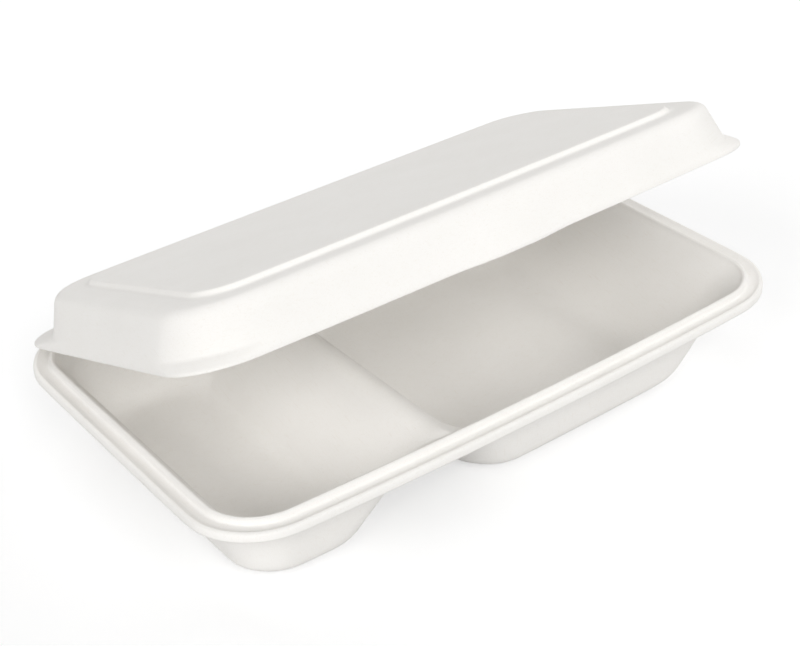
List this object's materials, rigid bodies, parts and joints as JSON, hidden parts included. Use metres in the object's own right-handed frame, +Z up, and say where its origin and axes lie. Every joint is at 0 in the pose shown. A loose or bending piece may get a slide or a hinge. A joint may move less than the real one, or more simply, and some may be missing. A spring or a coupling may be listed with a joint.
{
  "type": "bagasse meal box",
  "caption": "Hinged clamshell meal box pressed from bagasse fibre: shallow tray with a cross divider, beaded rim and a folded-over lid with a raised panel.",
  "frame": {"origin": "centre of the tray in plan, on the plane that the tray stands on", "axes": "+X along the length with the small compartment at -X, +Y towards the fold at the back, +Z up"},
  "size_m": [0.24, 0.1538, 0.0997],
  "materials": {
    "tray_fibre": "matte pressed bagasse fibre",
    "lid_fibre": "matte pressed bagasse fibre"
  },
  "bodies": {
    "tray": {"tray": "tray_fibre"},
    "lid": {"lid": "lid_fibre"}
  },
  "joints": [
    {"name": "lid_fold", "type": "hinge", "parent": "tray", "child": "lid", "pos_m": [0, 0.0769, 0.03315], "axis": [-1, 0, 0], "range_deg": [-21, 159]}
  ]
}
